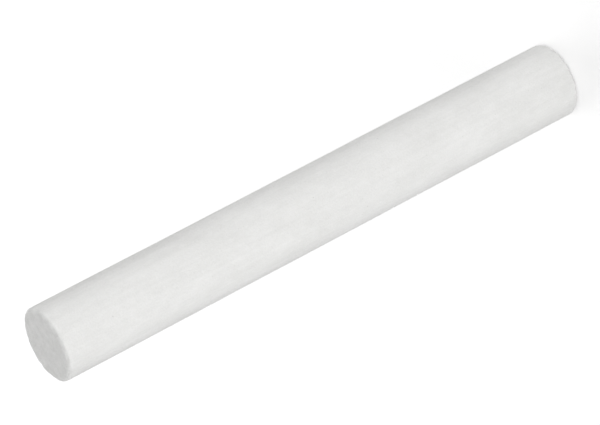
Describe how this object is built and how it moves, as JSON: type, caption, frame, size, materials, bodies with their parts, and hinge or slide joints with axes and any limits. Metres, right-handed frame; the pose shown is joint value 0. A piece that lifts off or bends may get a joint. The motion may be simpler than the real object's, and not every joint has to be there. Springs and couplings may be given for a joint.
{
  "type": "chalk stick",
  "caption": "Round white chalk stick for a blackboard: a straight rod with flat ends and softly rubbed rims, standing on its foot end.",
  "frame": {"origin": "centre of the flat foot face, on the stick's axis", "axes": "+Z along the stick's axis, from the foot face to the writing face; +X and +Y are free, because the stick is round"},
  "size_m": [0.01, 0.01, 0.08],
  "materials": {
    "chalk": "matte"
  },
  "bodies": {
    "root": {"chalk_stick": "chalk"}
  },
  "joints": []
}
